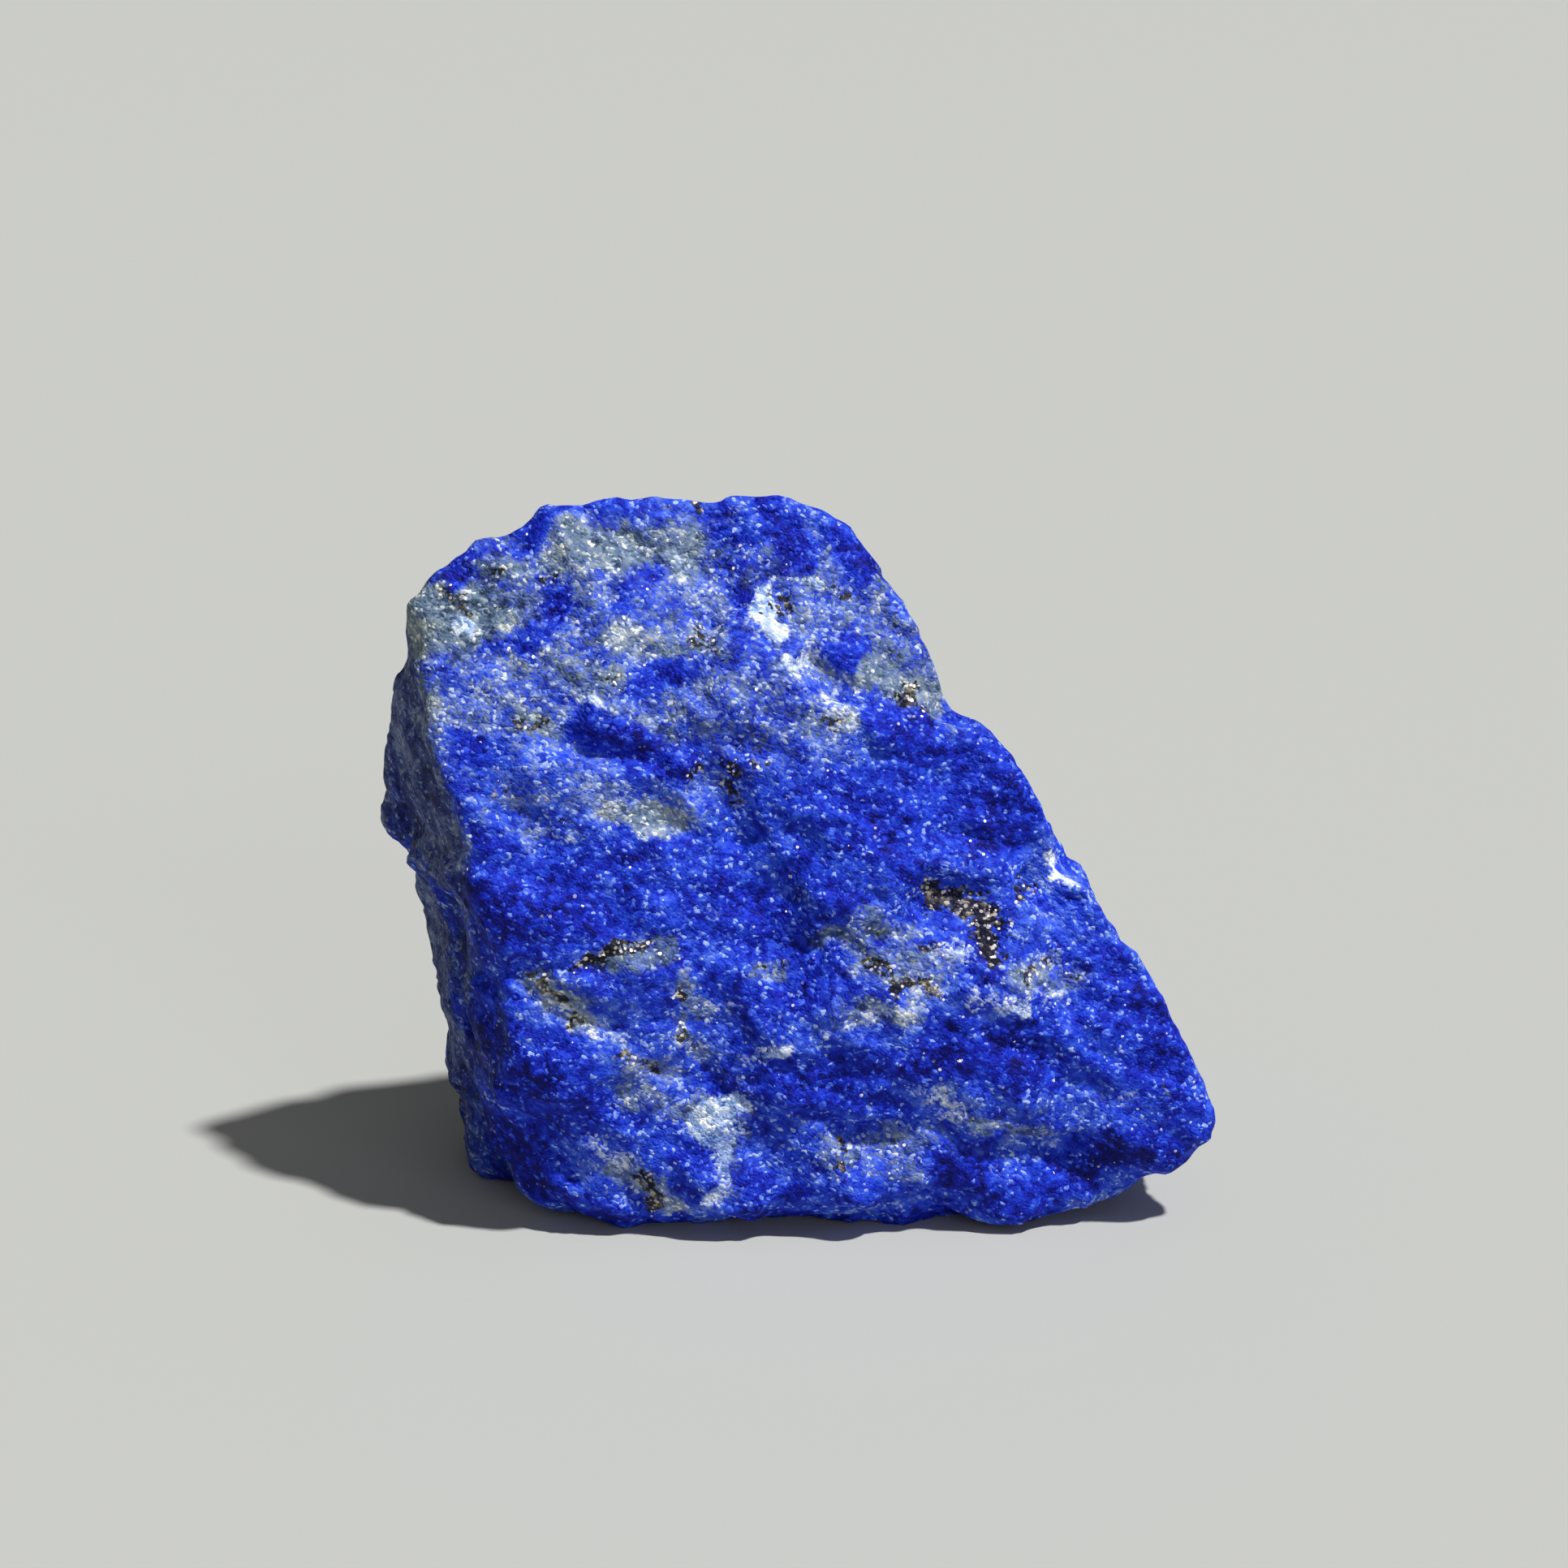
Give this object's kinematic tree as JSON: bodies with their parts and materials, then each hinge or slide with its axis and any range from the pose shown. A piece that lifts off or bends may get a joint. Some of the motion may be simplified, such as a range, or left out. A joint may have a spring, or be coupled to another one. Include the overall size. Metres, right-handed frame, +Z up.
{
  "type": "lapis lazuli specimen",
  "caption": "Rough lapis lazuli specimen: one blue stone with pale and pyrite-flecked zones, broken on every side, standing on its flattest break.",
  "frame": {"origin": "under the middle of the stone's bounding box, at the level of the flat break it stands on", "axes": "+Z up; +X along the stone's length, to the right of its broad front face, which looks along -Y; Y through its thickness"},
  "size_m": [0.034, 0.018, 0.0295],
  "materials": {
    "lapis_lazuli": "rough broken, sugary grain with small metallic flecks"
  },
  "bodies": {
    "root": {"lapis_stone": "lapis_lazuli"}
  },
  "joints": []
}
